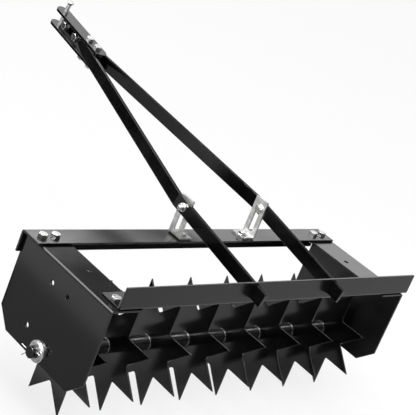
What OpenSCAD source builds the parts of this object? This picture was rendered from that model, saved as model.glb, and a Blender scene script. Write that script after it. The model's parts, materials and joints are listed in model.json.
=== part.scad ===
// Tow-behind spike aerator: eight spiked stars turn on one axle under a frame of two folded end
// plates and two angle bars, and two bent tongue bars run forward to a pinned hitch.
// X runs along the axle, +Y points forward to the hitch and +Z points up. The modules place their
// pieces from the middle of the axle. The origin is on the ground, under the middle of the machine.

/* [Frame] */
// Width over the outer faces of the two end plates
frame_w = 790; // [700:5:900]
// Length of an end plate from its front edge to its rear edge
plate_len = 257; // [240:1:290]
// Height of the folded top above the axle
plate_top = 162; // [150:1:190]
// Depth of an end plate below the axle
plate_drop = 18; // [16:1:40]
// Thickness of the end plate sheet
plate_t = 4; // [3:0.5:6]
// Size of the cut bottom corners of an end plate
corner_cut = 34; // [20:1:50]
// Width of the inward fold along the top of an end plate
fold_w = 68; // [66:1:80]
// Inner radius of the bends in the plates, bars and brackets
bend_r = 1.5; // [1:0.5:3.5]
// Diameter of the spare holes in the end plates
plate_hole_d = 10; // [8:0.5:12]
// Distance between the two upper spare holes of the left end plate
plate_hole_gap = 46; // [35:1:60]
// Height of these two holes above the axle
plate_hole_up = 122.5; // [100:0.5:130]
// Distance from an end plate's outer face to the hole in its fold
fold_hole_in = 46; // [30:1:50]
// Distance from an end plate's front or rear edge to the frame bolts
frame_bolt_in = 28; // [24:0.5:34]

/* [Angle bars] */
// Width of the flat leg of each angle bar
bar_flat = 52; // [48:1:58]
// Height of the upright leg of each angle bar
bar_upright = 43.5; // [42:0.5:50]
// Thickness of the angle bars
bar_t = 4; // [3:0.5:6]
// Length of the front bar
front_bar_len = 793; // [788:1:800]
// Distance by which the front bar is set to the left
front_bar_shift = 5; // [0:0.5:6]
// Length of the rear bar
rear_bar_len = 783; // [776:1:790]
// Distance by which the rear bar is set to the right
rear_bar_shift = 12.5; // [0:0.5:14]
// Diameter of the two spare holes in the front bar's upright leg
bar_hole_d = 8; // [6:0.5:10]
// Distance between these two spare holes
bar_hole_gap = 220; // [150:5:300]
// Depth of these two spare holes below the front bar's top
bar_hole_down = 30; // [24:0.5:34]

/* [Stars] */
// Number of spiked stars; a narrower frame holds only those that fit
star_count = 8; // [4:1:8]
// Distance from one star to the next
star_pitch = 100; // [90:1:101]
// Shift of the row of stars from the middle of the frame
star_shift = 10; // [0:1:12]
// Radius of the circle through the spike tips
star_r = 119; // [105:1:122]
// Radius of the rounded valleys between the spikes
valley_r = 66; // [55:0.5:70]
// Fillet radius in each valley
valley_fillet = 5.5; // [4:0.5:10]
// Number of spikes on a star
spike_count = 8; // [6:1:10]
// Thickness of a star
star_t = 3; // [2:0.5:5]

/* [Axle] */
// Diameter of the axle
axle_d = 22.2; // [19:0.1:25.4]
// Outer diameter of the spacer tubes between the stars
spacer_d = 30; // [29:0.5:36]
// Chamfer at the ends of the spacer tubes
spacer_chamfer = 1; // [0.5:0.1:1.5]
// Outer diameter of the washer against each end plate
washer_d = 40; // [36:1:48]
// Outer diameter of the washer that lies on it
outer_washer_d = 34; // [30:1:44]
// Thickness of these washers
washer_t = 3; // [2:0.5:4]
// Length of axle that stands out beyond the washers at each end
axle_stub = 12; // [12:0.5:20]
// Wire diameter of a closed cotter pin
cotter_d = 4; // [3:0.5:5]

/* [Tongue] */
// Upward tilt of the tongue
tongue_tilt = 10.3; // [9:0.1:11]
// Shift of the tongue from the middle of the frame
tongue_shift = 41; // [0:1:44]
// Width over the outer faces of the parallel stretches
tongue_w = 224; // [200:1:240]
// Height of a tongue bar
tongue_h = 28; // [26:0.5:29]
// Thickness of a tongue bar
tongue_t = 6; // [5:0.5:7]
// Height of a tongue bar's lower edge above the rear bar's flat leg, at the pivot
tongue_lift = 7.5; // [4:0.5:8]
// Length of the stub of a tongue bar behind its pivot
tongue_tail = 28; // [20:1:32]
// Distance along the tongue from the slot bolts to the bend where the bars start to converge
bend_at = 23.6; // [23:0.1:45]
// Distance from the pivot to the bend where the bars meet
nose_at = 805; // [795:1:815]
// Length of the front stretch where the bars lie against each other
tongue_end = 66; // [60:1:75]

/* [Brackets] */
// Width of a slotted bracket
bracket_w = 33; // [30:0.5:36]
// Thickness of a slotted bracket
bracket_t = 4; // [3:0.5:5]
// Height of a slotted bracket above its slot bolt
bracket_h = 19.8; // [18:0.1:26]
// Length of a bracket's foot
foot_len = 34; // [32:1:46]
// Distance from a bracket's outer face to its foot bolt
foot_bolt_in = 22; // [20:0.5:22]
// Width of the slot
slot_w = 12.4; // [12.2:0.1:14]
// Distance from the front bar's front face back to the brackets' centre line
bracket_y = 29; // [27:0.5:35]

/* [Hitch] */
// Width of a hitch strap
strap_w = 31; // [28:0.5:34]
// Thickness of a hitch strap
strap_t = 6; // [5:0.5:8]
// Length of a hitch strap
strap_len = 189; // [185:1:195]
// Depth of the throat between the straps, in front of the bars
throat = 36; // [32:1:45]
// Distance from the pin to the straps' front ends
pin_inset = 24; // [20:0.5:25]
// Diameter of the hitch pin
pin_d = 10; // [9:0.5:12]
// Length of the hitch pin under its head
pin_len = 61; // [60:1:70]
// Height at which the hitch pin's head stands above the upper strap
pin_lift = 20; // [10:1:20]
// Diameter of the hitch pin's countersunk head
pin_head_d = 18; // [16:0.5:22]
// Height of this head
pin_head_h = 7.5; // [6:0.5:10]

/* [Hardware] */
// Shank diameter of the frame and hitch bolts
bolt_d = 10; // [8:0.5:10]
// Width across flats of their heads and nuts
bolt_af = 16; // [14:0.5:17]
// Shank diameter of the slot bolts
slot_bolt_d = 8; // [7:0.5:8]
// Width across flats of their heads and nuts
slot_bolt_af = 13; // [12:0.5:14]

/* [Hidden] */
$fn = 64;
// Clearance in radius round a bolt in its hole
hole_play = 0.5;
// Clearance between faces that slide or turn on each other
run_gap = 0.3;
// Depth by which a cut passes through what it cuts
over = 1;
// Length of thread that stands out beyond a nut
thread_end = 3;
// Least distance from an outer star to an end plate
end_spacer_min = 12;

black_paint = "#1d1d20";
zinc = "#c6c9cc";

// Frame
half_w = frame_w / 2;
front_y = plate_len / 2;
rear_y = -plate_len / 2;
bar_top = plate_top + bar_t;
// The front bar's hanging leg keeps the plates' front edges clear of its bend
front_face_y = front_y + bend_r + bar_t;
front_bolt_y = front_face_y - frame_bolt_in;
rear_bolt_y = rear_y + frame_bolt_in;
// Distances of the bolts from the plates' outer faces, and what is added at the rear left corner
frame_bolt_x = [18, 46];
rear_left_extra = 10;
bolt_len = bar_t + plate_t + nut_h(bolt_d) + thread_end;

// Stars: the plates' inner faces limit the row of stars and spacers
inner_x = half_w - plate_t - run_gap;
row_room = 2 * (inner_x - star_shift - end_spacer_min);
stars_fit = min(star_count, 1 + floor(row_room / star_pitch));
star_x = [for (i = [0 : stars_fit - 1]) star_shift + (i - (stars_fit - 1) / 2) * star_pitch];
spacer_play = 0.2;
last_spacer = 8;

// Axle ends
washer_x = half_w + run_gap;
washers_end = washer_x + 2 * washer_t;
axle_half = washers_end + axle_stub;
cotter_x = washers_end + run_gap + cotter_d;
cotter_turn = -25;

// Tongue: the pivot is where the bars pass through the rear bar's upright leg
pivot_y = rear_y + bar_t / 2;
pivot_z = bar_top + tongue_lift + tongue_h / 2;
tongue_half = tongue_w / 2;
bracket_out = tongue_half - tongue_t - run_gap;
bracket_mid = front_face_y - bracket_y;
slot_bolt_back = (slot_w - slot_bolt_d) / 2 - run_gap;
slot_bolt_u = (bracket_mid - slot_bolt_back - pivot_y) / cos(tongue_tilt);
slot_bolt_z = pivot_z + slot_bolt_u * sin(tongue_tilt);
bend_u = slot_bolt_u + bend_at;
slot_bottom = bar_top + 10;
bracket_top = slot_bolt_z + bracket_h;
slot_top = bracket_top - 12;
slot_washer_d = 2.2 * slot_bolt_d;
slot_washer_t = 1.6;
slot_head_x = bracket_out - bracket_t - slot_washer_t;

// Hitch
tongue_tip = nose_at + tongue_end;
strap_front = tongue_tip + throat;
strap_back = strap_front - strap_len;
pin_u = strap_front - pin_inset;
side_bolt_u = [tongue_tip - 12, nose_at + bolt_af / 2 + 0.5];
// The top bolts pass between the bars, where these stand far enough apart
tongue_slope = atan2(tongue_half - tongue_t, nose_at - bend_u);
top_bolt_front = nose_at - (bolt_d / 2 + 0.5) / sin(tongue_slope);
top_bolt_u = [top_bolt_front, top_bolt_front - 32];

// Place of the axle's middle, measured from the origin
rearmost = pivot_y - tongue_tail * cos(tongue_tilt) - tongue_h / 2 * sin(tongue_tilt);
foremost = pivot_y + strap_front * cos(tongue_tilt) + (tongue_h / 2 + strap_t) * sin(tongue_tilt);
axle_y = -(foremost + rearmost) / 2;
axle_z = star_r * cos(180 / spike_count);

// Hardware sizes that follow from the shank
function head_h(d) = 0.64 * d;
function nut_h(d) = 0.84 * d;
function corner_d(af) = af / cos(30);

// Moves what is placed from the axle's middle to its place above the ground
module on_ground() {
    translate([0, axle_y, axle_z])
        children();
}

// A bolt hole along +Z that starts at the origin
module bolt_hole(d, depth) {
    translate([0, 0, -over])
        cylinder(d = d + 2 * hole_play, h = depth + 2 * over);
}

// A six-sided prism whose far corners are chamfered as on a real head or nut
module hexagon(af, h) {
    chamfer = (corner_d(af) - af) / 2;
    intersection() {
        cylinder(d = corner_d(af), h = h, $fn = 6);
        rotate_extrude()
            polygon([[0, 0], [corner_d(af) / 2, 0], [corner_d(af) / 2, h - chamfer * 0.6],
                     [corner_d(af) / 2 - chamfer, h], [0, h]]);
    }
}

// A hexagon bolt: the head stands up from the origin and the shank hangs down
module bolt(d, af, len) {
    hexagon(af, head_h(d));
    translate([0, 0, -len])
        cylinder(d = d, h = len + head_h(d) / 2);
}

// A hexagon nut that hangs down from the origin
module nut(d, af) {
    mirror([0, 0, 1])
        difference() {
            hexagon(af, nut_h(d));
            translate([0, 0, -over])
                cylinder(d = d + 0.1, h = nut_h(d) + 2 * over);
        }
}

// A flat strip along +Y with round ends, centred on X, that rises from the XY plane
module round_strip(w, len, t) {
    linear_extrude(t)
        union() {
            translate([-w / 2, w / 2])
                square([w, len - w]);
            for (y = [w / 2, len - w / 2])
                translate([0, y])
                    circle(d = w);
        }
}

// Cross-section of a bent sheet: one leg along +X and one along +Y, with the outer corner at the origin
module bent_sheet(a, b, t) {
    outer_r = bend_r + t;
    translate([outer_r, 0])
        square([a - outer_r, t]);
    translate([0, outer_r])
        square([t, b - outer_r]);
    translate([outer_r, outer_r])
        intersection() {
            difference() {
                circle(r = outer_r);
                circle(r = bend_r);
            }
            translate([-outer_r - over, -outer_r - over])
                square(outer_r + over);
        }
}

// Frame

// Side outline of an end plate: a rectangle with two cut bottom corners
module plate_outline() {
    polygon([
        [rear_y, plate_top], [front_y, plate_top],
        [front_y, corner_cut - plate_drop], [front_y - corner_cut, -plate_drop],
        [rear_y + corner_cut, -plate_drop], [rear_y, corner_cut - plate_drop]
    ]);
}

// An end plate with its outer face at x = 0 and its fold towards +X; web_holes are spare holes
module end_plate(web_holes) {
    difference() {
        intersection() {
            translate([0, front_y, plate_top])
                rotate([90, 0, 0])
                    linear_extrude(plate_len)
                        mirror([0, 1])
                            bent_sheet(fold_w, plate_top + plate_drop, plate_t);
            translate([-over, 0, 0])
                rotate([90, 0, 90])
                    linear_extrude(fold_w + 2 * over)
                        plate_outline();
        }
        translate([-over, 0, 0])
            rotate([0, 90, 0])
                cylinder(d = axle_d + 2 * run_gap, h = plate_t + 2 * over);
        for (p = web_holes)
            translate([-over, p[0], p[1]])
                rotate([0, 90, 0])
                    cylinder(d = plate_hole_d, h = plate_t + 2 * over);
        translate([fold_hole_in, 0, plate_top - plate_t - over])
            cylinder(d = plate_hole_d, h = plate_t + 2 * over);
        for (x = frame_bolt_x)
            translate([x, front_bolt_y, plate_top - plate_t])
                bolt_hole(bolt_d, plate_t);
        children();
    }
}

// Places of the spare holes in the left end plate's web: two above and one low in front
plate_holes = [[2 + plate_hole_gap / 2, plate_hole_up], [2 - plate_hole_gap / 2, plate_hole_up], [48, 23]];

module left_end_plate() {
    color(black_paint)
        translate([-half_w, 0, 0])
            end_plate(plate_holes)
                rear_fold_holes(-1);
}

module right_end_plate() {
    color(black_paint)
        translate([half_w, 0, 0])
            mirror([1, 0, 0])
                end_plate([])
                    rear_fold_holes(1);
}

// Places of the two bolts at one end of a bar; s is -1 at the left and 1 at the right
function bolt_x(s, rear) = [for (x = frame_bolt_x) s * (half_w - x - (rear && s < 0 ? rear_left_extra : 0))];

// The rear bolts' holes in a fold, measured from the plate's outer face
module rear_fold_holes(s) {
    for (x = bolt_x(s, true))
        translate([half_w - abs(x), rear_bolt_y, plate_top - plate_t])
            bolt_hole(bolt_d, plate_t);
}

// Bolt holes at both ends of an angle bar that lies on the folds
module end_bolt_holes(y, rear) {
    for (s = [-1, 1], x = bolt_x(s, rear))
        translate([x, y, plate_top])
            bolt_hole(bolt_d, bar_t);
}

// The front bar lies on the folds and its other leg hangs down in front of the plates
module front_bar() {
    color(black_paint)
        difference() {
            translate([-front_bar_len / 2 - front_bar_shift, front_face_y, bar_top])
                rotate([90, 0, 90])
                    linear_extrude(front_bar_len)
                        rotate(180)
                            bent_sheet(bar_flat, bar_upright, bar_t);
            end_bolt_holes(front_bolt_y, false);
            for (s = [-1, 1]) {
                translate([s * bar_hole_gap / 2, front_face_y + over, bar_top - bar_hole_down])
                    rotate([90, 0, 0])
                        cylinder(d = bar_hole_d, h = bar_t + 2 * over);
                translate([foot_bolt_x(s), bracket_mid, plate_top])
                    bolt_hole(bolt_d, bar_t);
            }
        }
}

// The rear bar lies on the folds, and the tongue bars pass through slots in its upright leg
module rear_bar() {
    slot_h = tongue_h / cos(tongue_tilt) + bar_t * tan(tongue_tilt) + 2;
    color(black_paint)
        difference() {
            translate([rear_bar_shift - rear_bar_len / 2, rear_y, plate_top])
                rotate([90, 0, 90])
                    linear_extrude(rear_bar_len)
                        bent_sheet(bar_flat, bar_upright, bar_t);
            end_bolt_holes(rear_bolt_y, true);
            for (s = [-1, 1])
                translate([tongue_shift + s * (tongue_half - tongue_t / 2) - tongue_t / 2 - 1,
                           rear_y - over, pivot_z - slot_h / 2])
                    cube([tongue_t + 2, bar_t + 2 * over, slot_h]);
        }
}

// Bolts and nuts that clamp one end of an angle bar to a fold
module end_bolts(s, rear) {
    color(zinc)
        for (x = bolt_x(s, rear))
            translate([x, rear ? rear_bolt_y : front_bolt_y, bar_top])
                bolt(bolt_d, bolt_af, bolt_len);
}

module end_nuts(s, rear) {
    color(zinc)
        for (x = bolt_x(s, rear))
            translate([x, rear ? rear_bolt_y : front_bolt_y, plate_top - plate_t])
                nut(bolt_d, bolt_af);
}

module front_left_bolts() { end_bolts(-1, false); }
module front_left_nuts() { end_nuts(-1, false); }
module front_right_bolts() { end_bolts(1, false); }
module front_right_nuts() { end_nuts(1, false); }
module rear_left_bolts() { end_bolts(-1, true); }
module rear_left_nuts() { end_nuts(-1, true); }
module rear_right_bolts() { end_bolts(1, true); }
module rear_right_nuts() { end_nuts(1, true); }

// Brackets

function foot_bolt_x(s) = tongue_shift + s * (bracket_out - foot_bolt_in);

// A bracket at the inner side of a tongue bar: its foot turns inward and lies on the front bar
module bracket(s) {
    color(zinc)
        translate([tongue_shift + s * bracket_out, bracket_mid, bar_top])
            difference() {
                translate([0, bracket_w / 2, 0])
                    rotate([90, 0, 0])
                        linear_extrude(bracket_w)
                            mirror([s > 0 ? 1 : 0, 0])
                                bent_sheet(foot_len, bracket_top - bar_top, bracket_t);
                translate([-bracket_t - over, 0, 0])
                    rotate([90, 0, 90])
                        linear_extrude(2 * (bracket_t + over)) {
                            translate([-slot_w / 2, slot_bottom - bar_top + slot_w / 2])
                                square([slot_w, slot_top - slot_bottom - slot_w]);
                            for (z = [slot_bottom + slot_w / 2, slot_top - slot_w / 2])
                                translate([0, z - bar_top])
                                    circle(d = slot_w);
                        }
                translate([-s * foot_bolt_in, 0, 0])
                    bolt_hole(bolt_d, bracket_t);
            }
}

module left_bracket() { bracket(-1); }
module right_bracket() { bracket(1); }

module foot_bolt(s) {
    color(zinc)
        translate([foot_bolt_x(s), bracket_mid, bar_top + bracket_t])
            bolt(bolt_d, bolt_af, bracket_t + bar_t + nut_h(bolt_d) + thread_end);
}

module foot_nut(s) {
    color(zinc)
        translate([foot_bolt_x(s), bracket_mid, plate_top])
            nut(bolt_d, bolt_af);
}

module left_foot_bolt() { foot_bolt(-1); }
module left_foot_nut() { foot_nut(-1); }
module right_foot_bolt() { foot_bolt(1); }
module right_foot_nut() { foot_nut(1); }

// Rotor

// Star outline: sharp spikes with a filleted valley between each pair
module star_outline() {
    half = 180 / spike_count;
    // Half of the angle between the two edges that meet in a valley
    function open(r0) = atan2(star_r * sin(half), star_r * cos(half) - r0);
    // The fillet lifts the floor of the valley above the corner where the edges would meet
    corner_r = valley_r - valley_fillet * (1 / sin(open(valley_r)) - 1);
    beta = open(corner_r);
    centre_r = corner_r + valley_fillet / sin(beta);
    touch = valley_fillet / tan(beta);
    // A valley points straight down, so two spikes stand on the ground
    polygon([for (i = [0 : 2 * spike_count - 1])
        (i % 2 == 0 ? corner_r : star_r) * [cos(i * half - 90), sin(i * half - 90)]]);
    for (i = [0 : spike_count - 1])
        rotate(2 * i * half - 90)
            difference() {
                polygon([[corner_r - over, 0], [corner_r, 0] + touch * [cos(beta), -sin(beta)],
                         [centre_r, 0], [corner_r, 0] + touch * [cos(beta), sin(beta)]]);
                translate([centre_r, 0])
                    circle(r = valley_fillet);
            }
}

module star(i) {
    if (i < stars_fit)
        color(black_paint)
            translate([star_x[i] - star_t / 2, 0, 0])
                rotate([90, 0, 90])
                    difference() {
                        linear_extrude(star_t)
                            star_outline();
                        translate([0, 0, -over])
                            cylinder(d = axle_d + 0.2, h = star_t + 2 * over);
                    }
}

module star_1() { star(0); }
module star_2() { star(1); }
module star_3() { star(2); }
module star_4() { star(3); }
module star_5() { star(4); }
module star_6() { star(5); }
module star_7() { star(6); }
module star_8() { star(7); }

module axle() {
    color(zinc)
        difference() {
            rotate([0, 90, 0])
                rotate_extrude()
                    polygon([
                        [0, -axle_half], [axle_d / 2 - 1, -axle_half], [axle_d / 2, -axle_half + 1],
                        [axle_d / 2, axle_half - 1], [axle_d / 2 - 1, axle_half], [0, axle_half]
                    ]);
            for (s = [-1, 1])
                translate([s * cotter_x, 0, 0])
                    rotate([cotter_turn, 0, 0])
                        rotate([90, 0, 0])
                            cylinder(d = cotter_d + 0.4, h = axle_d + 2, center = true);
        }
}

// One spacer tube on the axle: between two stars, or from an outer star to a plate. The last one
// stands at the right plate, however many stars there are.
module spacer(i) {
    ends = star_t / 2 + spacer_play / 2;
    bore_r = axle_d / 2 + 0.2;
    outer_r = spacer_d / 2;
    x0 = i == 0 ? -inner_x : star_x[min(i, stars_fit) - 1] + ends;
    x1 = i == last_spacer ? inner_x : star_x[i] - ends;
    if (i < stars_fit || i == last_spacer)
        color(black_paint)
            translate([x0, 0, 0])
                rotate([0, 90, 0])
                    rotate_extrude()
                        polygon([
                            [bore_r, 0], [outer_r - spacer_chamfer, 0], [outer_r, spacer_chamfer],
                            [outer_r, x1 - x0 - spacer_chamfer], [outer_r - spacer_chamfer, x1 - x0],
                            [bore_r, x1 - x0]
                        ]);
}

module spacer_1() { spacer(0); }
module spacer_2() { spacer(1); }
module spacer_3() { spacer(2); }
module spacer_4() { spacer(3); }
module spacer_5() { spacer(4); }
module spacer_6() { spacer(5); }
module spacer_7() { spacer(6); }
module spacer_8() { spacer(7); }
module spacer_9() { spacer(8); }

// A washer round the left end of the axle whose inner face is at x
module washer(x, d) {
    translate([-x - washer_t, 0, 0])
        rotate([0, 90, 0])
            difference() {
                cylinder(d = d, h = washer_t);
                translate([0, 0, -over])
                    cylinder(d = axle_d + 2 * run_gap, h = washer_t + 2 * over);
            }
}

module left_washer() {
    color(zinc)
        washer(washer_x, washer_d);
}

module left_outer_washer() {
    color(zinc)
        washer(washer_x + washer_t, outer_washer_d);
}

module right_washer() {
    color(zinc)
        mirror([1, 0, 0])
            washer(washer_x, washer_d);
}

module right_outer_washer() {
    color(zinc)
        mirror([1, 0, 0])
            washer(washer_x + washer_t, outer_washer_d);
}

// A split cotter pin across the left end of the axle: the eye behind, the legs spread in front
module cotter() {
    eye_r = cotter_d * 0.9;
    reach = axle_d / 2 + 2;
    translate([-cotter_x, 0, 0])
        rotate([cotter_turn, 0, 0]) {
            translate([0, reach, 0])
                rotate([90, 0, 0])
                    cylinder(d = cotter_d, h = 2 * reach + 2);
            translate([0, -reach - 2 - eye_r * 1.5, 0])
                rotate([0, 90, 0])
                    rotate_extrude()
                        translate([eye_r * 1.2, 0])
                            circle(d = cotter_d * 0.6, $fn = 24);
            for (a = [-1, 1])
                translate([0, reach - 1, a * cotter_d * 0.15])
                    rotate([a * 24, 0, 0])
                        rotate([-90, 0, 0])
                            cylinder(d = cotter_d * 0.6, h = 20);
        }
}

module left_cotter() {
    color(zinc)
        cotter();
}

module right_cotter() {
    color(zinc)
        mirror([1, 0, 0])
            cotter();
}

// Tongue

// Tongue coordinates: X from the tongue's middle, Y along it from the pivot, Z up from its lower edge
module in_tongue() {
    translate([tongue_shift, pivot_y, pivot_z])
        rotate([tongue_tilt, 0, 0])
            translate([0, 0, -tongue_h / 2])
                children();
}

// Plan of the right tongue bar: parallel, then converging, then along the middle
module tongue_plan() {
    x0 = tongue_half;
    shift = tongue_t * tan(tongue_slope / 2);
    polygon([
        [x0, -tongue_tail], [x0, bend_u], [tongue_t, nose_at], [tongue_t, tongue_tip],
        [0, tongue_tip], [0, nose_at - shift], [x0 - tongue_t, bend_u - shift], [x0 - tongue_t, -tongue_tail]
    ]);
}

// The right tongue bar; the left one is its mirror image
module tongue_bar() {
    difference() {
        linear_extrude(tongue_h)
            tongue_plan();
        translate([tongue_half - tongue_t - over, slot_bolt_u, tongue_h / 2])
            rotate([0, 90, 0])
                cylinder(d = slot_bolt_d + 2 * hole_play, h = tongue_t + 2 * over);
        for (u = side_bolt_u)
            translate([-over, u, tongue_h / 2])
                rotate([0, 90, 0])
                    cylinder(d = bolt_d + 2 * hole_play, h = tongue_t + 2 * over);
    }
}

module right_tongue_bar() {
    color(black_paint)
        in_tongue()
            tongue_bar();
}

module left_tongue_bar() {
    color(black_paint)
        in_tongue()
            mirror([1, 0, 0])
                tongue_bar();
}

// A bolt through a tongue bar and its bracket's slot, with the head inside and a washer at each end
module slot_bolt(s) {
    grip = 2 * slot_washer_t + bracket_t + run_gap + tongue_t;
    color(zinc)
        in_tongue()
            translate([s * slot_head_x, slot_bolt_u, tongue_h / 2])
                rotate([0, -s * 90, 0])
                    bolt(slot_bolt_d, slot_bolt_af, grip + nut_h(slot_bolt_d) + thread_end);
}

module slot_nut(s) {
    color(zinc)
        in_tongue()
            translate([s * (tongue_half + slot_washer_t), slot_bolt_u, tongue_h / 2])
                rotate([0, -s * 90, 0])
                    nut(slot_bolt_d, slot_bolt_af);
}

module slot_washers(s) {
    color(zinc)
        in_tongue()
            for (x = [slot_head_x, tongue_half])
                translate([s * x, slot_bolt_u, tongue_h / 2])
                    rotate([0, s * 90, 0])
                        difference() {
                            cylinder(d = slot_washer_d, h = slot_washer_t);
                            translate([0, 0, -over])
                                cylinder(d = slot_bolt_d + 0.4, h = slot_washer_t + 2 * over);
                        }
}

module left_slot_bolt() { slot_bolt(-1); }
module left_slot_washers() { slot_washers(-1); }
module left_slot_nut() { slot_nut(-1); }
module right_slot_bolt() { slot_bolt(1); }
module right_slot_washers() { slot_washers(1); }
module right_slot_nut() { slot_nut(1); }

// A hitch strap: round at both ends, drilled for the pin and for two bolts
module strap() {
    difference() {
        translate([0, strap_back, 0])
            round_strip(strap_w, strap_len, strap_t);
        translate([0, pin_u, -over])
            cylinder(d = pin_d + 2 * run_gap, h = strap_t + 2 * over);
        for (u = top_bolt_u)
            translate([0, u, 0])
                bolt_hole(bolt_d, strap_t);
    }
}

module upper_strap() {
    color(black_paint)
        in_tongue()
            translate([0, 0, tongue_h])
                strap();
}

module lower_strap() {
    color(black_paint)
        in_tongue()
            translate([0, 0, -strap_t])
                strap();
}

module hitch_side_bolts() {
    color(zinc)
        in_tongue()
            for (u = side_bolt_u)
                translate([-tongue_t, u, tongue_h / 2])
                    rotate([0, -90, 0])
                        bolt(bolt_d, bolt_af, 2 * tongue_t + nut_h(bolt_d) + thread_end);
}

module hitch_side_nuts() {
    color(zinc)
        in_tongue()
            for (u = side_bolt_u)
                translate([tongue_t, u, tongue_h / 2])
                    rotate([0, -90, 0])
                        nut(bolt_d, bolt_af);
}

module hitch_top_bolts() {
    color(zinc)
        in_tongue()
            for (u = top_bolt_u)
                translate([0, u, tongue_h + strap_t])
                    bolt(bolt_d, bolt_af, tongue_h + 2 * strap_t + nut_h(bolt_d) + thread_end);
}

module hitch_top_nuts() {
    color(zinc)
        in_tongue()
            for (u = top_bolt_u)
                translate([0, u, -strap_t])
                    nut(bolt_d, bolt_af);
}

// The hitch pin stands part of its length above the upper strap. Its head widens upwards.
module hitch_pin() {
    r = pin_d / 2;
    head_r = pin_head_d / 2;
    rim = 1.5;
    color(zinc)
        in_tongue()
            translate([0, pin_u, tongue_h + strap_t + pin_lift])
                rotate_extrude()
                    polygon([
                        [0, -pin_len], [r - 2, -pin_len], [r, -pin_len + 3], [r, 0],
                        [head_r, pin_head_h - rim], [head_r, pin_head_h - rim / 3],
                        [head_r - rim / 3, pin_head_h], [0, pin_head_h]
                    ]);
}

on_ground() left_end_plate();
on_ground() right_end_plate();
on_ground() front_bar();
on_ground() rear_bar();
on_ground() front_left_bolts();
on_ground() front_left_nuts();
on_ground() front_right_bolts();
on_ground() front_right_nuts();
on_ground() rear_left_bolts();
on_ground() rear_left_nuts();
on_ground() rear_right_bolts();
on_ground() rear_right_nuts();
on_ground() left_bracket();
on_ground() left_foot_bolt();
on_ground() left_foot_nut();
on_ground() right_bracket();
on_ground() right_foot_bolt();
on_ground() right_foot_nut();
on_ground() axle();
on_ground() spacer_1();
on_ground() spacer_2();
on_ground() spacer_3();
on_ground() spacer_4();
on_ground() spacer_5();
on_ground() spacer_6();
on_ground() spacer_7();
on_ground() spacer_8();
on_ground() spacer_9();
on_ground() star_1();
on_ground() star_2();
on_ground() star_3();
on_ground() star_4();
on_ground() star_5();
on_ground() star_6();
on_ground() star_7();
on_ground() star_8();
on_ground() left_washer();
on_ground() left_outer_washer();
on_ground() left_cotter();
on_ground() right_washer();
on_ground() right_outer_washer();
on_ground() right_cotter();
on_ground() left_tongue_bar();
on_ground() right_tongue_bar();
on_ground() upper_strap();
on_ground() lower_strap();
on_ground() left_slot_bolt();
on_ground() left_slot_washers();
on_ground() left_slot_nut();
on_ground() right_slot_bolt();
on_ground() right_slot_washers();
on_ground() right_slot_nut();
on_ground() hitch_side_bolts();
on_ground() hitch_side_nuts();
on_ground() hitch_top_bolts();
on_ground() hitch_top_nuts();
on_ground() hitch_pin();
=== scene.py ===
# %% [markdown]
# # A tow-behind spike aerator
#
# Eight spiked stars turn on one axle under a frame of folded steel plates, and a tongue of two flat
# bars runs forward to a hitch pin. The sizes come from an imported model and stay as they are, so this
# lesson is about looks: the view, the finishes, and a few small parts that deserve better modelling.

# %% Load the imported model
import json
import math

import bpy
from mathutils import Matrix, Quaternion, Vector


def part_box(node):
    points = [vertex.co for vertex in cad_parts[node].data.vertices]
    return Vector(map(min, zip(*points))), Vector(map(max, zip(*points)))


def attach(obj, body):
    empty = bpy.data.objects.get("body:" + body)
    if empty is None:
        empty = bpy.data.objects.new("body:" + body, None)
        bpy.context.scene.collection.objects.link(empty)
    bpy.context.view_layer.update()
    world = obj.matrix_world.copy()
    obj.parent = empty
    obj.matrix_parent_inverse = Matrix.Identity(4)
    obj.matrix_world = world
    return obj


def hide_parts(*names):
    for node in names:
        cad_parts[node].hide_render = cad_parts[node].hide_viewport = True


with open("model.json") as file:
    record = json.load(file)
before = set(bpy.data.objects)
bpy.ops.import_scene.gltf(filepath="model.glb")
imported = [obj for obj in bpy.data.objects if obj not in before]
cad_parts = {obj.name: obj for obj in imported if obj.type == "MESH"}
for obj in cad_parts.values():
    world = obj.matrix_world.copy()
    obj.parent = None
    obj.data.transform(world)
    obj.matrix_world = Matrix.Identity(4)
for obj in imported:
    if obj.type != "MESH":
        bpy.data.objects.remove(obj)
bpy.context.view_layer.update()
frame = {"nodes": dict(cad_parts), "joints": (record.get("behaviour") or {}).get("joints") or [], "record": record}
nodes = frame["nodes"]
bpy.ops.object.select_all(action="DESELECT")

# %% [markdown]
# Three places help to measure everything else: the axle's middle, the tongue's pivot and the
# direction of the tongue. They are read from the model, so nothing has to be typed twice.

# %% Measure the model
MM = 0.001
low, high = (Vector(corner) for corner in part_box("axle"))
axle_middle = (low + high) / 2
joints = {joint["name"]: joint for joint in frame["joints"]}
pivot = Vector(joints["tongue_height"]["pos_m"])
pin_axis = Vector(joints["hitch_pin_slide"]["axis"]).normalized()
tongue_tilt = math.atan2(-pin_axis.y, pin_axis.z)
print("axle middle:", axle_middle, "tongue tilt:", round(math.degrees(tongue_tilt), 2))

# %% [markdown]
# ## The view
#
# The machine was photographed from behind, from its left and from above, with a long lens. The
# picture was turned on its side by about 22 degrees before it was cut out, which only a roll of the
# camera can give: moving the camera would change which faces show.

# %% Place the camera
IMAGE_WIDTH = 416
FOCAL_PIXELS = 1312.5
SENSOR_WIDTH = 36
CAMERA_FROM_AXLE = Vector((-1797.3, -1439.8, 1078.8))
VIEW_DIRECTION = Vector((0.71346, 0.61385, -0.33789))
CAMERA_ROLL = 22.29

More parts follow.
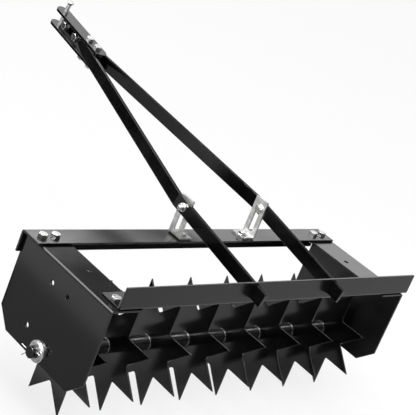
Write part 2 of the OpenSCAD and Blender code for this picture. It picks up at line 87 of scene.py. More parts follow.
camera_data = bpy.data.cameras.new("camera")
camera = bpy.data.objects.new("camera", camera_data)
bpy.context.scene.collection.objects.link(camera)
camera.location = axle_middle + CAMERA_FROM_AXLE * MM
level = VIEW_DIRECTION.to_track_quat("-Z", "Y")
camera.rotation_mode = "QUATERNION"
camera.rotation_quaternion = level @ Quaternion((0, 0, 1), math.radians(CAMERA_ROLL))
camera_data.sensor_width = SENSOR_WIDTH
camera_data.lens = SENSOR_WIDTH * FOCAL_PIXELS / IMAGE_WIDTH
camera_data.clip_end = 100
bpy.context.scene.camera = camera
print("lens:", round(camera_data.lens, 1), "mm")

# %% [markdown]
# ## Helpers for finishes
#
# Colours are written as the sRGB hex values that a paint chart gives. Blender computes with linear
# light, so one function turns them over. A second one adds a node with its settings and links.

# %% Define the colour and node helpers
def linear(hex_colour):
    """The linear RGBA of an sRGB hex colour such as "#c6c9cc"."""
    values = [int(hex_colour[i : i + 2], 16) / 255 for i in (1, 3, 5)]
    return [v / 12.92 if v <= 0.04045 else ((v + 0.055) / 1.055) ** 2.4 for v in values] + [1.0]


def add_node(material, kind, inputs=None, **settings):
    """Adds a node. An input is a value, or another node's socket to link to."""
    new = material.node_tree.nodes.new(kind)
    for name, value in settings.items():
        setattr(new, name, value)
    for name, value in (inputs or {}).items():
        if isinstance(value, bpy.types.NodeSocket):
            material.node_tree.links.new(value, new.inputs[name])
        else:
            new.inputs[name].default_value = value
    return new


def new_material(name):
    """A material whose node tree holds only the surface shader and the output."""
    material = bpy.data.materials.new(name)
    material.use_nodes = True
    surface = material.node_tree.nodes["Principled BSDF"]
    return material, surface


print("#808080 is", round(linear("#808080")[0], 3), "in linear light")

# %% [markdown]
# ## Gloss black powder coat
#
# The plates, bars and stars have a baked black powder coat. It is a smooth plastic film of about
# 0.08 mm, so it gives sharp reflections with the faint waviness that painters call orange peel.
# Where the film runs over a sheared edge it rounds it, and that rounding is what draws the thin
# bright lines along every edge. A bevel node gives those lines without changing the mesh.

# %% Make the black powder coat
EDGE_RADIUS = 1.6 * MM
PEEL_DEPTH = 0.4 * MM
# What a thin coat adds to the roughness
THIN_COAT_EXTRA = 0.22


def make_black_powder_coat(name, rough=(0.13, 0.18), specular=0.42, lean=None, thin=None):
    """The coat. lean(material, place) gives a height in metres by which a flange is out of square,
    and thin(material, place) gives 1 where the coat is thin and dull."""
    material, surface = new_material(name)
    place = add_node(material, "ShaderNodeTexCoord").outputs["Object"]
    # Orange peel: soft bumps about 2.5 mm across
    peel = add_node(material, "ShaderNodeTexNoise", {"Vector": place, "Scale": 400.0, "Detail": 2.0})
    # Slow changes of gloss over about 60 mm, as a hand-sprayed coat has
    cloud = add_node(material, "ShaderNodeTexNoise", {"Vector": place, "Scale": 16.0, "Detail": 3.0})
    span = {"From Min": 0.3, "From Max": 0.7, "To Min": rough[0], "To Max": rough[1]}
    gloss = add_node(material, "ShaderNodeMapRange", {"Value": cloud.outputs["Fac"], **span})
    roughness = gloss.outputs["Result"]
    if thin:
        amount = {0: thin(material, place), 1: THIN_COAT_EXTRA, 2: roughness}
        duller = add_node(material, "ShaderNodeMath", amount, operation="MULTIPLY_ADD")
        roughness = duller.outputs["Value"]
    normal = add_node(material, "ShaderNodeBevel", {"Radius": EDGE_RADIUS}, samples=6).outputs["Normal"]
    if lean:
        tilt = {"Height": lean(material, place), "Strength": 1.0, "Distance": 1.0, "Normal": normal}
        normal = add_node(material, "ShaderNodeBump", tilt).outputs["Normal"]
    waves = {"Height": peel.outputs["Fac"], "Strength": 0.05, "Distance": PEEL_DEPTH, "Normal": normal}
    bump = add_node(material, "ShaderNodeBump", waves)
    links = material.node_tree.links
    links.new(roughness, surface.inputs["Roughness"])
    links.new(bump.outputs["Normal"], surface.inputs["Normal"])
    surface.inputs["Base Color"].default_value = linear("#060607")
    surface.inputs["IOR"].default_value = 1.5
    surface.inputs["Specular IOR Level"].default_value = specular
    return material


black_paint = make_black_powder_coat("gloss_black_powder_coat")
# The stars' coat shines a little more
star_paint = make_black_powder_coat("black_star_coat", rough=(0.12, 0.17), specular=0.6)
# The tubes' coat is rougher, and draws one soft line of light along each tube
spacer_paint = make_black_powder_coat("black_tube_coat", rough=(0.2, 0.25), specular=0.9)
print("black coats:", black_paint.name, star_paint.name, spacer_paint.name)

# %% [markdown]
# A press brake never leaves a fold at exactly 90 degrees: the steel springs back by 2 degrees or so,
# and a rolled angle bar is out of square by as much. On a glossy part the eye sees that at once,
# because a fold that leans by 2 degrees mirrors the room 4 degrees away from where a square one
# would. The solids stay square and the bump node leans the coat on those flanges alone. Powder also
# hardly reaches the inside of a box, so the plates are duller there.

# %% Lean the folds and dull the plates' inner sides
SPRING_BACK = math.tan(math.radians(3.0))
OUT_OF_SQUARE = math.tan(math.radians(1.4))
# Faces deeper than this below the outer side belong to the inner side
OUTER_SKIN = 1.5 * MM
plate_low, plate_high = (Vector(corner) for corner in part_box("left_end_plate"))


def fold_lean(material, place):
    """Both folds rise towards the machine's middle."""
    axes = add_node(material, "ShaderNodeSeparateXYZ", {"Vector": place})
    away = add_node(material, "ShaderNodeMath", {0: axes.outputs["X"]}, operation="ABSOLUTE")
    slope = {0: away.outputs["Value"], 1: -SPRING_BACK}
    return add_node(material, "ShaderNodeMath", slope, operation="MULTIPLY").outputs["Value"]


def bar_lean(material, place):
    """Both bars' flanges fall towards the front of the machine."""
    axes = add_node(material, "ShaderNodeSeparateXYZ", {"Vector": place})
    slope = {0: axes.outputs["Y"], 1: -OUT_OF_SQUARE}
    return add_node(material, "ShaderNodeMath", slope, operation="MULTIPLY").outputs["Value"]


def inner_side(material, place):
    """1 below the fold and inside the web, 0 on the outer faces."""
    axes = add_node(material, "ShaderNodeSeparateXYZ", {"Vector": place})
    away = add_node(material, "ShaderNodeMath", {0: axes.outputs["X"]}, operation="ABSOLUTE")
    web = {0: away.outputs["Value"], 1: -plate_low.x - OUTER_SKIN}
    inside = add_node(material, "ShaderNodeMath", web, operation="LESS_THAN").outputs["Value"]
    fold = {0: axes.outputs["Z"], 1: plate_high.z - OUTER_SKIN}
    below = add_node(material, "ShaderNodeMath", fold, operation="LESS_THAN").outputs["Value"]
    both = add_node(material, "ShaderNodeMath", {0: inside, 1: below}, operation="MULTIPLY")
    return both.outputs["Value"]


plate_paint = make_black_powder_coat("folded_plate_powder_coat", lean=fold_lean, thin=inner_side)
bar_paint = make_black_powder_coat("angle_bar_powder_coat", rough=(0.19, 0.24), lean=bar_lean)
print("coats that lean:", plate_paint.name, bar_paint.name)

# %% [markdown]
# ## Bright zinc plating
#
# Bolts, nuts, washers, brackets, cotters and the hitch pin are plated with zinc and passivated. The
# plating is a bright but slightly milky metal: it mirrors the room, blurred. On the brackets, which
# hang in the bath one by one, its tone changes in faint clouds a few millimetres across. Bolts and
# nuts tumble through it in a barrel, so they come out glossier and full of tiny dents that sparkle.
# One function makes both, because only four numbers tell them apart.

# %% Make the zinc plating
PLATED_EDGE = 0.5 * MM
DENT_DEPTH = 0.3 * MM


def make_zinc_plating(name, grain, rough_from, rough_to, dents):
    """Zinc with clouds of about 1/grain metres. dents is the strength of their relief."""
    material, surface = new_material(name)
    place = add_node(material, "ShaderNodeTexCoord").outputs["Object"]
    cloud = add_node(material, "ShaderNodeTexNoise", {"Vector": place, "Scale": grain, "Detail": 3.0})
    colour = add_node(material, "ShaderNodeValToRGB", {"Fac": cloud.outputs["Fac"]})
    colour.color_ramp.elements[0].position = 0.3
    colour.color_ramp.elements[0].color = linear("#b2b2b1")
    colour.color_ramp.elements[1].position = 0.7
    colour.color_ramp.elements[1].color = linear("#d2d2d1")
    span = {"To Min": rough_from, "To Max": rough_to}
    gloss = add_node(material, "ShaderNodeMapRange", {"Value": cloud.outputs["Fac"], **span})
    edge = add_node(material, "ShaderNodeBevel", {"Radius": PLATED_EDGE}, samples=6).outputs["Normal"]
    relief = {"Height": cloud.outputs["Fac"], "Strength": dents, "Distance": DENT_DEPTH, "Normal": edge}
    bump = add_node(material, "ShaderNodeBump", relief)
    links = material.node_tree.links
    links.new(colour.outputs["Color"], surface.inputs["Base Color"])
    links.new(gloss.outputs["Result"], surface.inputs["Roughness"])
    links.new(bump.outputs["Normal"], surface.inputs["Normal"])
    surface.inputs["Metallic"].default_value = 1.0
    return material


zinc = make_zinc_plating("bright_zinc_plating", 120.0, 0.3, 0.5, 0.03)
bolt_zinc = make_zinc_plating("tumbled_zinc_plating", 320.0, 0.17, 0.34, 0.6)
print("zinc:", zinc.name, bolt_zinc.name)

# %% [markdown]
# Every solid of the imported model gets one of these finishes. Its record says which ones are plated,
# so only the plates, the bars and the stars have to be told apart by name.

# %% Give every node of the model its finish
slots = {part["node"]: part["material_slot"] for part in frame["record"]["subparts"]}
for name, obj in nodes.items():
    finish = zinc if slots[name] == "zinc_plate" else black_paint
    if name.endswith("end_plate"):
        finish = plate_paint
    elif name in ("front_bar", "rear_bar"):
        finish = bar_paint
    elif name.startswith("star"):
        finish = star_paint
    obj.data.materials.clear()
    obj.data.materials.append(finish)
print("finished nodes:", len(nodes))

# %% [markdown]
# ## Working by hand
#
# The small parts below are modelled as a person would at the screen: a primitive, some edit-mode
# steps, and modifiers that are applied. A turned part starts as one point that is extruded along
# its outline and then spun once round Z.

# %% Draw and turn outlines
def open_edit(obj):
    """Selects obj alone and opens it in edit mode with everything in it selected."""
    bpy.ops.object.select_all(action="DESELECT")
    bpy.context.view_layer.objects.active = obj
    obj.select_set(True)
    bpy.ops.object.mode_set(mode="EDIT")
    bpy.ops.mesh.select_all(action="SELECT")


def close_edit():
    bpy.ops.object.mode_set(mode="OBJECT")


def draw_outline(name, points):
    """A chain of edges through points, each (x, z) in millimetres."""
    bpy.ops.mesh.primitive_plane_add(size=MM, location=(0, 0, 0))
    obj = bpy.context.active_object
    obj.name = name
    open_edit(obj)
    bpy.ops.mesh.merge(type="CENTER")
    bpy.ops.transform.translate(value=(points[0][0] * MM, 0, points[0][1] * MM))
    for (x0, z0), (x1, z1) in zip(points, points[1:]):
        step = {"value": ((x1 - x0) * MM, 0, (z1 - z0) * MM)}
        bpy.ops.mesh.extrude_region_move(TRANSFORM_OT_translate=step)
    close_edit()
    return obj


def turn_profile(name, points, steps=48):
    """A closed solid turned round Z from an outline of (radius, height) in millimetres."""
    obj = draw_outline(name, points)
    open_edit(obj)
    bpy.ops.mesh.spin(steps=steps, angle=math.tau, center=(0, 0, 0), axis=(0, 0, 1))
    bpy.ops.mesh.select_all(action="SELECT")
    bpy.ops.mesh.remove_doubles(threshold=1e-7)
    bpy.ops.mesh.normals_make_consistent(inside=False)
    close_edit()
    return obj


# %% [markdown]
# Where one solid takes away from another, a Boolean modifier does it, as a drill or a lathe tool
# would on the real part. Equal parts are modelled once and then copied. Every copy gets its own mesh,
# so that its place can be written into the mesh.

# %% Cut, join and copy pieces
def cut_with(obj, tool, operation):
    """Applies a Boolean modifier and deletes the tool."""
    modifier = obj.modifiers.new("cut", "BOOLEAN")
    modifier.operation = operation
    modifier.solver = "EXACT"
    modifier.object = tool
    bpy.ops.object.select_all(action="DESELECT")
    bpy.context.view_layer.objects.active = obj
    obj.select_set(True)
    bpy.ops.object.modifier_apply(modifier="cut")
    bpy.data.objects.remove(tool)
    return obj


def join(name, objects):
    """One piece from several, with their places in its mesh."""
    bpy.ops.object.select_all(action="DESELECT")
    for obj in objects:
        obj.select_set(True)
    bpy.context.view_layer.objects.active = objects[0]
    bpy.ops.object.transform_apply(location=True, rotation=True, scale=True)
    if len(objects) > 1:
        bpy.ops.object.join()
    objects[0].name = name
    return objects[0]


def copy_to(master, matrix):
    """A copy of master with its own mesh, standing at matrix."""
    copy = master.copy()
    copy.data = master.data.copy()
    bpy.context.scene.collection.objects.link(copy)
    copy.matrix_world = matrix
    return copy


# %% [markdown]
# A finished piece gets its finish, and smooth shading wherever two faces meet at less than 30
# degrees. It rides on the body of the node of the model that it stands for, and that node itself
# is hidden.

# %% Dress a finished piece
def dress(piece, node, finish):
    """Gives a piece its finish and the body of the node that it stands for, and hides that node."""
    piece.data.materials.clear()
    piece.data.materials.append(finish)
    bpy.ops.object.select_all(action="DESELECT")
    bpy.context.view_layer.objects.active = piece
    piece.select_set(True)
    bpy.ops.object.shade_smooth_by_angle(angle=math.radians(30))
    body = next(name for name, parts in frame["record"]["behaviour"]["bodies"].items() if node in parts)
    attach(piece, body)
    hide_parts(node)


# %% [markdown]
# ## Hexagon bolts and nuts
#
# A forged hexagon head is a six-sided prism whose corners are turned off at 30 degrees, and a rolled
# thread is one ridge that climbs by its pitch each turn. Texture could fake both, but the bolts are
# the brightest spots on the machine and their facets show. So the head is a prism cut by a turned
# cone, and the thread is a real helix from the screw modifier. The numbers are the usual shares of a
# coarse metric bolt.
#
# One weakness is left. The screw modifier doesn't merge a turn with the next, so the thread's root
# has open seams, and the cut with the turned envelope can come out differently from run to run.
# Merging the doubles straight after the modifier would close the seams.

# %% Make the hexagon and the thread
# Shares of the bolt's size, then of the pitch, then of the width across flats
HEAD_HEIGHT = 0.64
NUT_HEIGHT = 0.84
THREAD_DEPTH = 0.61
FLAT_RADIUS = 0.475
PAST_CORNERS = 0.6
CORNER_ANGLE = math.radians(30)


def make_hexagon(name, flats, height, both_ends=False):
    """A hexagon prism that stands on the origin, its corners turned off on top, or on both ends."""
    bpy.ops.mesh.primitive_cylinder_add(vertices=6, radius=flats / math.sqrt(3) * MM, depth=height * MM,
                                        location=(0, 0, height / 2 * MM))
    prism = bpy.context.active_object
    prism.name = name
    bpy.ops.object.transform_apply(location=True, rotation=True, scale=True)
    flat, wide = flats * FLAT_RADIUS, flats * PAST_CORNERS
    drop = (wide - flat) * math.tan(CORNER_ANGLE)
    foot = [(0, 0), (flat, 0), (wide, drop)] if both_ends else [(0, -1), (wide, -1)]
    cone = turn_profile("cone", foot + [(wide, height - drop), (flat, height), (0, height)])
    return cut_with(prism, cone, "INTERSECT")


def make_thread(name, size, pitch, length):
    """A threaded rod from the origin down, with a turned tip."""
    depth = THREAD_DEPTH * pitch
    turns = math.ceil(length / pitch) + 3
    rod = draw_outline(name, [(size / 2 - depth, 0), (size / 2, pitch / 2), (size / 2 - depth, pitch)])
    helix = rod.modifiers.new("helix", "SCREW")
    helix.axis = "Z"
    helix.screw_offset = pitch * MM
    helix.iterations = turns
    helix.steps = helix.render_steps = 24
    bpy.ops.object.modifier_apply(modifier="helix")
    open_edit(rod)
    bpy.ops.transform.translate(value=(0, 0, -(length + 1.5 * pitch) * MM))
    bpy.ops.mesh.bisect(plane_co=(0, 0, -length * MM), plane_no=(0, 0, -1), use_fill=True, clear_outer=True)
    bpy.ops.mesh.select_all(action="SELECT")
    bpy.ops.mesh.bisect(plane_co=(0, 0, 0.4 * MM), plane_no=(0, 0, 1), use_fill=True, clear_outer=True)
    bpy.ops.mesh.select_all(action="SELECT")
    bpy.ops.mesh.normals_make_consistent(inside=False)
    close_edit()
    wide, tip = size / 2 + 0.2, size / 2 - depth - 0.2
    outline = [(0, -length), (tip, -length), (wide, -length + wide - tip), (wide, 1), (0, 1)]
    return cut_with(rod, turn_profile("envelope", outline), "INTERSECT")


def make_bolt(name, size, pitch, flats, length):
    """A bolt whose head stands up from the origin and whose thread hangs down."""
    head = make_hexagon("head", flats, HEAD_HEIGHT * size)
    return join(name, [head, make_thread("thread", size, pitch, length)])


def make_nut(name, size, flats):
    """A nut that hangs down from the origin, bored a little wider than the thread."""
    height = NUT_HEIGHT * size
    nut = make_hexagon(name, flats, height, both_ends=True)
    bored, flared = size / 2 + 0.05, size / 2 + 0.8
    lower = [(0, -1), (flared, -1), (bored, 0.4)]
    upper = [(bored, height - 0.4), (flared, height + 1), (0, height + 1)]
    cut_with(nut, turn_profile("bore", lower + upper), "DIFFERENCE")
    open_edit(nut)
    bpy.ops.transform.translate(value=(0, 0, -height * MM))
    close_edit()
    return nut


M10 = {"size": 10, "pitch": 1.5, "flats": 16}
M8 = {"size": 8, "pitch": 1.25, "flats": 13}
frame_bolt = make_bolt("frame_bolt", length=19.4, **M10)
side_bolt = make_bolt("side_bolt", length=23.4, **M10)
top_bolt = make_bolt("top_bolt", length=51.4, **M10)
slot_bolt = make_bolt("slot_bolt", length=23.2, **M8)
nut_m10 = make_nut("nut_m10", 10, 16)
nut_m8 = make_nut("nut_m8", 8, 13)
masters = (frame_bolt, side_bolt, top_bolt, slot_bolt, nut_m10, nut_m8)
for master in masters:
    print(master.name, "has", len(master.data.polygons), "faces")

# %% [markdown]
# Every bolt stands where the model has its hole. No two people tighten a bolt to the same angle, so
# each hexagon is turned by a few degrees of its own. Places on the frame are counted in millimetres
# from the axle's middle, and places on the tongue along its own slope.

# %% Place a bolt and its nut in every hole
def at(x, y, z, turn=0.0):
    """A place in millimetres from the axle's middle, turned round its own upright axis."""
    place = Matrix.Translation(axle_middle + Vector((x, y, z)) * MM)
    return place @ Matrix.Rotation(math.radians(turn), 4, "Z")


HALF_BAR = 14
tongue_x = (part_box("left_tongue_bar")[0][0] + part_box("right_tongue_bar")[1][0]) / 2
tongue_frame = (Matrix.Translation((tongue_x, pivot.y, pivot.z)) @ Matrix.Rotation(tongue_tilt, 4, "X")
                @ Matrix.Translation((0, 0, -HALF_BAR * MM)))


def on_tongue(x, along, up, lean=0.0, turn=0.0):
    """A place on the tongue in millimetres, its upright axis leant over by lean degrees round Y."""
    return (tongue_frame @ Matrix.Translation(Vector((x, along, up)) * MM)
            @ Matrix.Rotation(math.radians(lean), 4, "Y") @ Matrix.Rotation(math.radians(turn), 4, "Z"))


# Each bolt node: the master, its places, then the nut's master and places
fasteners = {
    "front_left": (frame_bolt, [at(-377, 106, 166, 8), at(-349, 106, 166, 22)], nut_m10,
                   [at(-377, 106, 158, 20), at(-349, 106, 158, 5)]),
    "front_right": (frame_bolt, [at(377, 106, 166, 12), at(349, 106, 166, 25)], nut_m10,
                    [at(377, 106, 158, 0), at(349, 106, 158, 14)]),
    "rear_left": (frame_bolt, [at(-367, -100.5, 166, 6), at(-339, -100.5, 166, 24)], nut_m10,
                  [at(-367, -100.5, 158, 11), at(-339, -100.5, 158, 27)]),
    "rear_right": (frame_bolt, [at(377, -100.5, 166, 16), at(349, -100.5, 166, 2)], nut_m10,
                   [at(377, -100.5, 158, 21), at(349, -100.5, 158, 9)]),
    "left_foot": (frame_bolt, [at(-42.7, 105, 170, 15)], nut_m10, [at(-42.7, 105, 162, 4)]),
    "right_foot": (frame_bolt, [at(124.7, 105, 170, 10)], nut_m10, [at(124.7, 105, 162, 18)]),
    "left_slot": (slot_bolt, [on_tongue(-100.1, 233.36, HALF_BAR, 90, 12)], nut_m8,
                  [on_tongue(-113.6, 233.36, HALF_BAR, 90, 20)]),
    "right_slot": (slot_bolt, [on_tongue(100.1, 233.36, HALF_BAR, -90, 12)], nut_m8,
                   [on_tongue(113.6, 233.36, HALF_BAR, -90, 20)]),
    "hitch_side": (side_bolt,
                   [on_tongue(-6, 859, HALF_BAR, -90, 10), on_tongue(-6, 813.5, HALF_BAR, -90, 24)], nut_m10,
                   [on_tongue(6, 859, HALF_BAR, -90, 5), on_tongue(6, 813.5, HALF_BAR, -90, 17)]),
    "hitch_top": (top_bolt, [on_tongue(0, 776.04, 34, 0, 20), on_tongue(0, 744.04, 34, 0, 4)], nut_m10,
                  [on_tongue(0, 776.04, -6, 0, 9), on_tongue(0, 744.04, -6, 0, 25)]),
}
for where, (bolt, bolt_places, nut, nut_places) in fasteners.items():
    ending = "s" if len(bolt_places) > 1 else ""
    for kind, master, places in (("bolt", bolt, bolt_places), ("nut", nut, nut_places)):
        node = f"{where}_{kind}{ending}"
        dress(join(f"threaded_{node}", [copy_to(master, place) for place in places]), node, bolt_zinc)
for master in masters:
    bpy.data.objects.remove(master)
print("bolts and nuts:", sum(len(entry[1]) for entry in fasteners.values()))

# %% [markdown]
# ## Split cotters
#
# A split cotter is one piece of soft half-round wire, folded so that its flat sides meet. The fold
# is left open as an eye, and after it is pushed through the axle its legs are spread by hand. One
# curve with a round section follows that path. Two modelled wires would show a seam at the eye.

# %% Bend the split cotters
COTTER_WIRE = 0.95
COTTER_TURN = -25.0
EYE_RADIUS = 4.0
EYE_MIDDLE = -20.2
EYE_GAP = 70


def make_cotter():
    """A wire along a path in the Y and Z of the pin: a leg, the eye, the other leg."""
    eye = [(-15.2, 1.0)]
    for step in range(13):
        angle = math.radians(EYE_GAP / 2 + step * (360 - EYE_GAP) / 12)
        eye.append((EYE_MIDDLE + EYE_RADIUS * math.cos(angle), EYE_RADIUS * math.sin(angle)))
    eye.append((-15.2, -1.0))
    leg = [(30.0, 9.2), (24.0, 6.4), (18.0, 3.9), (14.0, 2.0), (11.0, 1.0), (0.0, 1.0), (-11.0, 1.0)]
    path = leg + eye + [(along, -up) for along, up in reversed(leg)]
    bpy.ops.curve.primitive_nurbs_path_add(location=(0, 0, 0))
    wire = bpy.context.active_object
    wire.name = "cotter_wire"
    spline = wire.data.splines[0]
    spline.points.add(len(path) - len(spline.points))
    for point, (y, z) in zip(spline.points, path):
        point.co = (0, y * MM, z * MM, 1)
    spline.order_u = 3
    spline.use_endpoint_u = True
    spline.resolution_u = 4
    wire.data.bevel_depth = COTTER_WIRE * MM
    wire.data.bevel_resolution = 3
    wire.data.use_fill_caps = True
    bpy.ops.object.select_all(action="DESELECT")
    wire.select_set(True)
    bpy.context.view_layer.objects.active = wire
    bpy.ops.object.convert(target="MESH")
    return bpy.context.active_object


cotter = make_cotter()
for side in ("left", "right"):
    cotter_low, cotter_high = (Vector(corner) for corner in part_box(f"{side}_cotter"))
    middle = Vector(((cotter_low.x + cotter_high.x) / 2, axle_middle.y, axle_middle.z))
    turned = Matrix.Translation(middle) @ Matrix.Rotation(math.radians(COTTER_TURN), 4, "X")
    dress(join(f"split_cotter_{side}", [copy_to(cotter, turned)]), f"{side}_cotter", zinc)
bpy.data.objects.remove(cotter)
print("cotters turned by", COTTER_TURN, "degrees")

# %% [markdown]
# ## Spacer tubes
#
# A length of tube keeps each star from its neighbour. Its ends are rolled over to a small collar, so
# that they bear on the star without cutting into it, and each collar shows as a thin bright ring.
# One outline, turned on the lathe, gives the tube, both collars and the bore in one closed wall.

# %% Turn the spacer tubes
def make_spacer(name, length, bore, tube, collar):
    """A tube from the origin up, with a rounded collar at each end."""
    low_end = [(bore, 0), (collar - 0.8, 0), (collar - 0.2, 0.3), (collar, 0.9), (collar, 1.8),
               (collar - 0.3, 2.5), (collar - 0.9, 2.9), (tube + 0.3, 3.3), (tube, 4.2)]
    high_end = [(radius, length - height) for radius, height in reversed(low_end)]
    return turn_profile(name, low_end + high_end + [(bore, 0)], steps=64)


BORE_RADIUS, TUBE_RADIUS, COLLAR_RADIUS = 11.2, 14.2, 15.6
tubes = [name for name in nodes if name.startswith("spacer")]
for node in tubes:
    tube_low, tube_high = (Vector(corner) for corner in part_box(node))
    length = (tube_high.x - tube_low.x) / MM
    tube = make_spacer("tube", length, BORE_RADIUS, TUBE_RADIUS, COLLAR_RADIUS)
    start = Matrix.Translation((tube_low.x, axle_middle.y, axle_middle.z))
    piece = copy_to(tube, start @ Matrix.Rotation(math.pi / 2, 4, "Y"))
    bpy.data.objects.remove(tube)
    dress(join(f"collared_{node}", [piece]), node, spacer_paint)
print("tubes:", len(tubes))

# %% [markdown]
# ## The studio
#
# The machine stands on a white floor in a white room. A matt white floor alone turns grey far from
# the lamps. So three quarters of what the camera and the reflections see is an even white glow, and
# the rest is the matt floor, which keeps a soft shadow near the spikes.

# %% Make the floor
FLOOR_SIZE = 60
GLOW_SHARE = 0.75


def make_floor():
    bpy.ops.mesh.primitive_plane_add(size=FLOOR_SIZE, location=(axle_middle.x, axle_middle.y, 0))
    floor = bpy.context.active_object
    floor.name = "floor"
    bpy.ops.object.transform_apply(location=True, rotation=True, scale=True)
    material, surface = new_material("white_studio_floor")
    surface.inputs["Base Color"].default_value = linear("#fafafa")
    surface.inputs["Roughness"].default_value = 1.0
    surface.inputs["Specular IOR Level"].default_value = 0.0
    path = add_node(material, "ShaderNodeLightPath")
    rays = {0: path.outputs["Is Camera Ray"], 1: path.outputs["Is Glossy Ray"]}
    seen = add_node(material, "ShaderNodeMath", rays, operation="MAXIMUM").outputs["Value"]
    share = add_node(material, "ShaderNodeMath", {0: seen, 1: GLOW_SHARE}, operation="MULTIPLY")
    glow = add_node(material, "ShaderNodeEmission", {"Color": (1, 1, 1, 1), "Strength": 1.0})
    layers = {0: share.outputs["Value"], 1: surface.outputs["BSDF"], 2: glow.outputs["Emission"]}
    blend = add_node(material, "ShaderNodeMixShader", layers)
    output = material.node_tree.nodes["Material Output"]
    material.node_tree.links.new(blend.outputs["Shader"], output.inputs["Surface"])
    floor.data.materials.append(material)
    print("floor:", FLOOR_SIZE, "m wide")


make_floor()

# %% [markdown]
# Black gloss has hardly a colour of its own: what it shows is the room. So the room is built for
# the reflections. A white skirt runs round it at the horizon, a bright wall stands opposite the
# camera, which the flat tops mirror, a dark band lies above it, and then comes the ceiling, which
# the rounded edges mirror as thin light lines and which is brightest overhead. The world shader
# paints all four by the height of a direction above the horizon.

# %% Build the room
def height_of(degrees):
    """The height of a direction that points this many degrees above the horizon."""
    return math.sin(math.radians(degrees))


SKIRT_TOP, SKIRT_END = height_of(10), height_of(12)
WALL_FULL, WALL_TOP, WALL_END = height_of(21), height_of(23), height_of(24.5)
# The wall fades out sideways between these cosines of the angle from its middle
SIDE_START, SIDE_FULL = 0.3, 0.7
CEILING_START, CEILING_FULL = height_of(30), height_of(36)
OVERHEAD_START, OVERHEAD_FULL = height_of(48), height_of(58)
DARK_BAND = 0.08
WALL = 2.1
WALL_FOOT = 0.45 * WALL
CEILING = 0.5
OVERHEAD = 0.8


def make_world():
    world = bpy.data.worlds.new("white_room")
    world.use_nodes = True
    bpy.context.scene.world = world
    towards = VIEW_DIRECTION.xy.normalized()
    direction = add_node(world, "ShaderNodeTexCoord").outputs["Generated"]
    height = add_node(world, "ShaderNodeSeparateXYZ", {"Vector": direction}).outputs["Z"]
    to_wall = {0: direction, 1: (towards.x, towards.y, 0)}
    facing = add_node(world, "ShaderNodeVectorMath", to_wall, operation="DOT_PRODUCT").outputs["Value"]
    # Soft steps by height: where each starts, where it is full and how much light it gives then
    steps = {
        "skirt": (SKIRT_END, SKIRT_TOP, 1.0),
        "wall": (WALL_END, WALL_TOP, 1.0),
        "ceiling": (CEILING_START, CEILING_FULL, CEILING),
        "overhead": (OVERHEAD_START, OVERHEAD_FULL, OVERHEAD),
    }
    light = {}
    for part, (start, full, strength) in steps.items():
        span = {"Value": height, "From Min": start, "From Max": full, "To Max": strength}
        step = add_node(world, "ShaderNodeMapRange", span, interpolation_type="SMOOTHSTEP")
        light[part] = step.outputs["Result"]
    span = {"Value": facing, "From Min": SIDE_START, "From Max": SIDE_FULL}
    opposite = add_node(world, "ShaderNodeMapRange", span, interpolation_type="SMOOTHSTEP").outputs["Result"]
    on_one_side = {0: light["wall"], 1: opposite}
    wall = add_node(world, "ShaderNodeMath", on_one_side, operation="MULTIPLY").outputs["Value"]
    # The wall grows brighter from its foot to its top
    span = {"From Min": SKIRT_TOP, "From Max": WALL_FULL, "To Min": WALL_FOOT, "To Max": WALL}
    level = add_node(world, "ShaderNodeMapRange", {"Value": height, **span}).outputs["Result"]
    lit = {0: wall, 1: level, 2: DARK_BAND}
    room = add_node(world, "ShaderNodeMath", lit, operation="MULTIPLY_ADD").outputs["Value"]
    for part, operation in (("ceiling", "ADD"), ("overhead", "ADD"), ("skirt", "MAXIMUM")):
        both = add_node(world, "ShaderNodeMath", {0: light[part], 1: room}, operation=operation)
        room = both.outputs["Value"]
    background = world.node_tree.nodes["Background"]
    world.node_tree.links.new(room, background.inputs["Strength"])
    background.inputs["Color"].default_value = (1, 1, 1, 1)
    print("room:", world.name)


make_world()

# %% [markdown]
# One large softbox gives the floor its shadow. The other lamps are for highlights alone: they are
# hidden from diffuse light, so they draw their shapes in the gloss without making the room brighter.
# Two draw the light lines along the edges, one the long line on the tubes, and a small one near the
# tongue greys the upper hitch strap.

# %% Light the room
AIM = Vector((0, 0, 0.2))


def add_softbox(name, place, width, height, power, gloss_only=False):
    """A rectangular lamp that faces the machine and that the camera doesn't see."""
    data = bpy.data.lights.new(name, "AREA")
    data.shape = "RECTANGLE"
    data.size = width
    data.size_y = height
    data.energy = power
    lamp = bpy.data.objects.new(name, data)
    bpy.context.scene.collection.objects.link(lamp)
    lamp.location = place
    lamp.rotation_euler = (AIM - Vector(place)).to_track_quat("-Z", "Y").to_euler()
    lamp.visible_camera = False
    lamp.visible_diffuse = not gloss_only
    print("lamp:", name, power, "W")


add_softbox("key_softbox", (-0.6, -1.2, 3.0), 2.4, 2.4, 40)
add_softbox("rear_softbox", (-2.0, -1.4, 2.0), 1.8, 1.8, 50, gloss_only=True)
add_softbox("front_softbox", (-1.0, 1.7, 2.2), 2.2, 2.2, 95, gloss_only=True)
add_softbox("tube_softbox", (-2.84, -0.07, 2.9), 0.9, 1.8, 330, gloss_only=True)
add_softbox("strap_softbox", (0.55, 0.87, 0.855), 0.26, 0.26, 0.3, gloss_only=True)


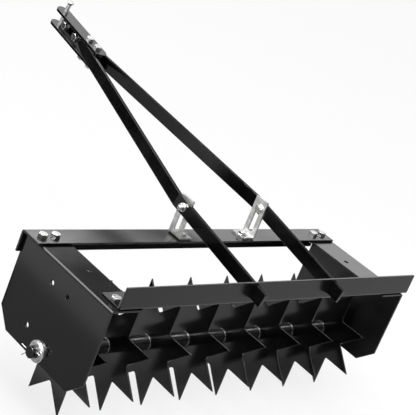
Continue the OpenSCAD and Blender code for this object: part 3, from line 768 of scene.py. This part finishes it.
# %% [markdown]
# Photographers stand cards beside glossy goods to choose what the gloss mirrors. A black card in
# front of the frame's left side keeps the tongue deep black. It is cut low in the middle, where the
# right bar's slanted part looks over it. Grey cards on the floor behind, in front and further off
# take the glare from the rear bar, the left plate and that slanted part. A white board that doesn't
# glow lies under the rotor, in its shadow, so the spikes mirror a darker white than the floor.

# %% Stand and lay the cards
FLAT = (0.002, 0.004)
UPRIGHT_X = (-0.422, -0.418)
UPRIGHT_FOOT = 0.005
# Along the tongue: where each part of the black card starts and ends, and its top
BLACK_CARD_PARTS = [(-0.15, 0.115, 0.175), (0.115, 0.40, 0.10), (0.40, 0.66, 0.185), (0.66, 2.4, 0.40)]
# On the floor: name, ends across, ends along, colour
FLOOR_CARDS = [
    ("rear_grey_card", (-0.6, 2.0), (-1.8, -0.60), "#dedede"),
    ("front_grey_card", (-0.71, -0.425), (-0.40, 0.45), "#a6a6a6"),
    ("matt_white_board", (-0.41, 0.40), (-0.48, 0.30), "#f2f2f2"),
    ("far_grey_card", (-1.5, -0.715), (0.40, 1.3), "#c8c8c8"),
]


def make_card(name, across, along, up, colour):
    """A thin matt board between three pairs of ends. Only reflections show it."""
    low, high = (Vector(corner) for corner in zip(across, along, up))
    bpy.ops.mesh.primitive_cube_add(size=1, location=(low + high) / 2)
    card = bpy.context.active_object
    card.name = name
    card.scale = high - low
    bpy.ops.object.transform_apply(location=True, rotation=True, scale=True)
    material, surface = new_material(name)
    surface.inputs["Base Color"].default_value = linear(colour)
    surface.inputs["Roughness"].default_value = 1.0
    surface.inputs["Specular IOR Level"].default_value = 0.0
    card.data.materials.append(material)
    card.visible_camera = False
    card.visible_diffuse = False
    card.visible_shadow = False


for number, (start, end, top) in enumerate(BLACK_CARD_PARTS, 1):
    make_card(f"black_card_{number}", UPRIGHT_X, (start, end), (UPRIGHT_FOOT, top), "#050505")
for name, across, along, colour in FLOOR_CARDS:
    make_card(name, across, along, FLAT, colour)
print("cards:", len(BLACK_CARD_PARTS) + len(FLOOR_CARDS))

# %% [markdown]
# The last cell sets the plain view transform, so that a colour renders as it is written.

# %% Finish the scene
bpy.context.scene.view_settings.view_transform = "Standard"
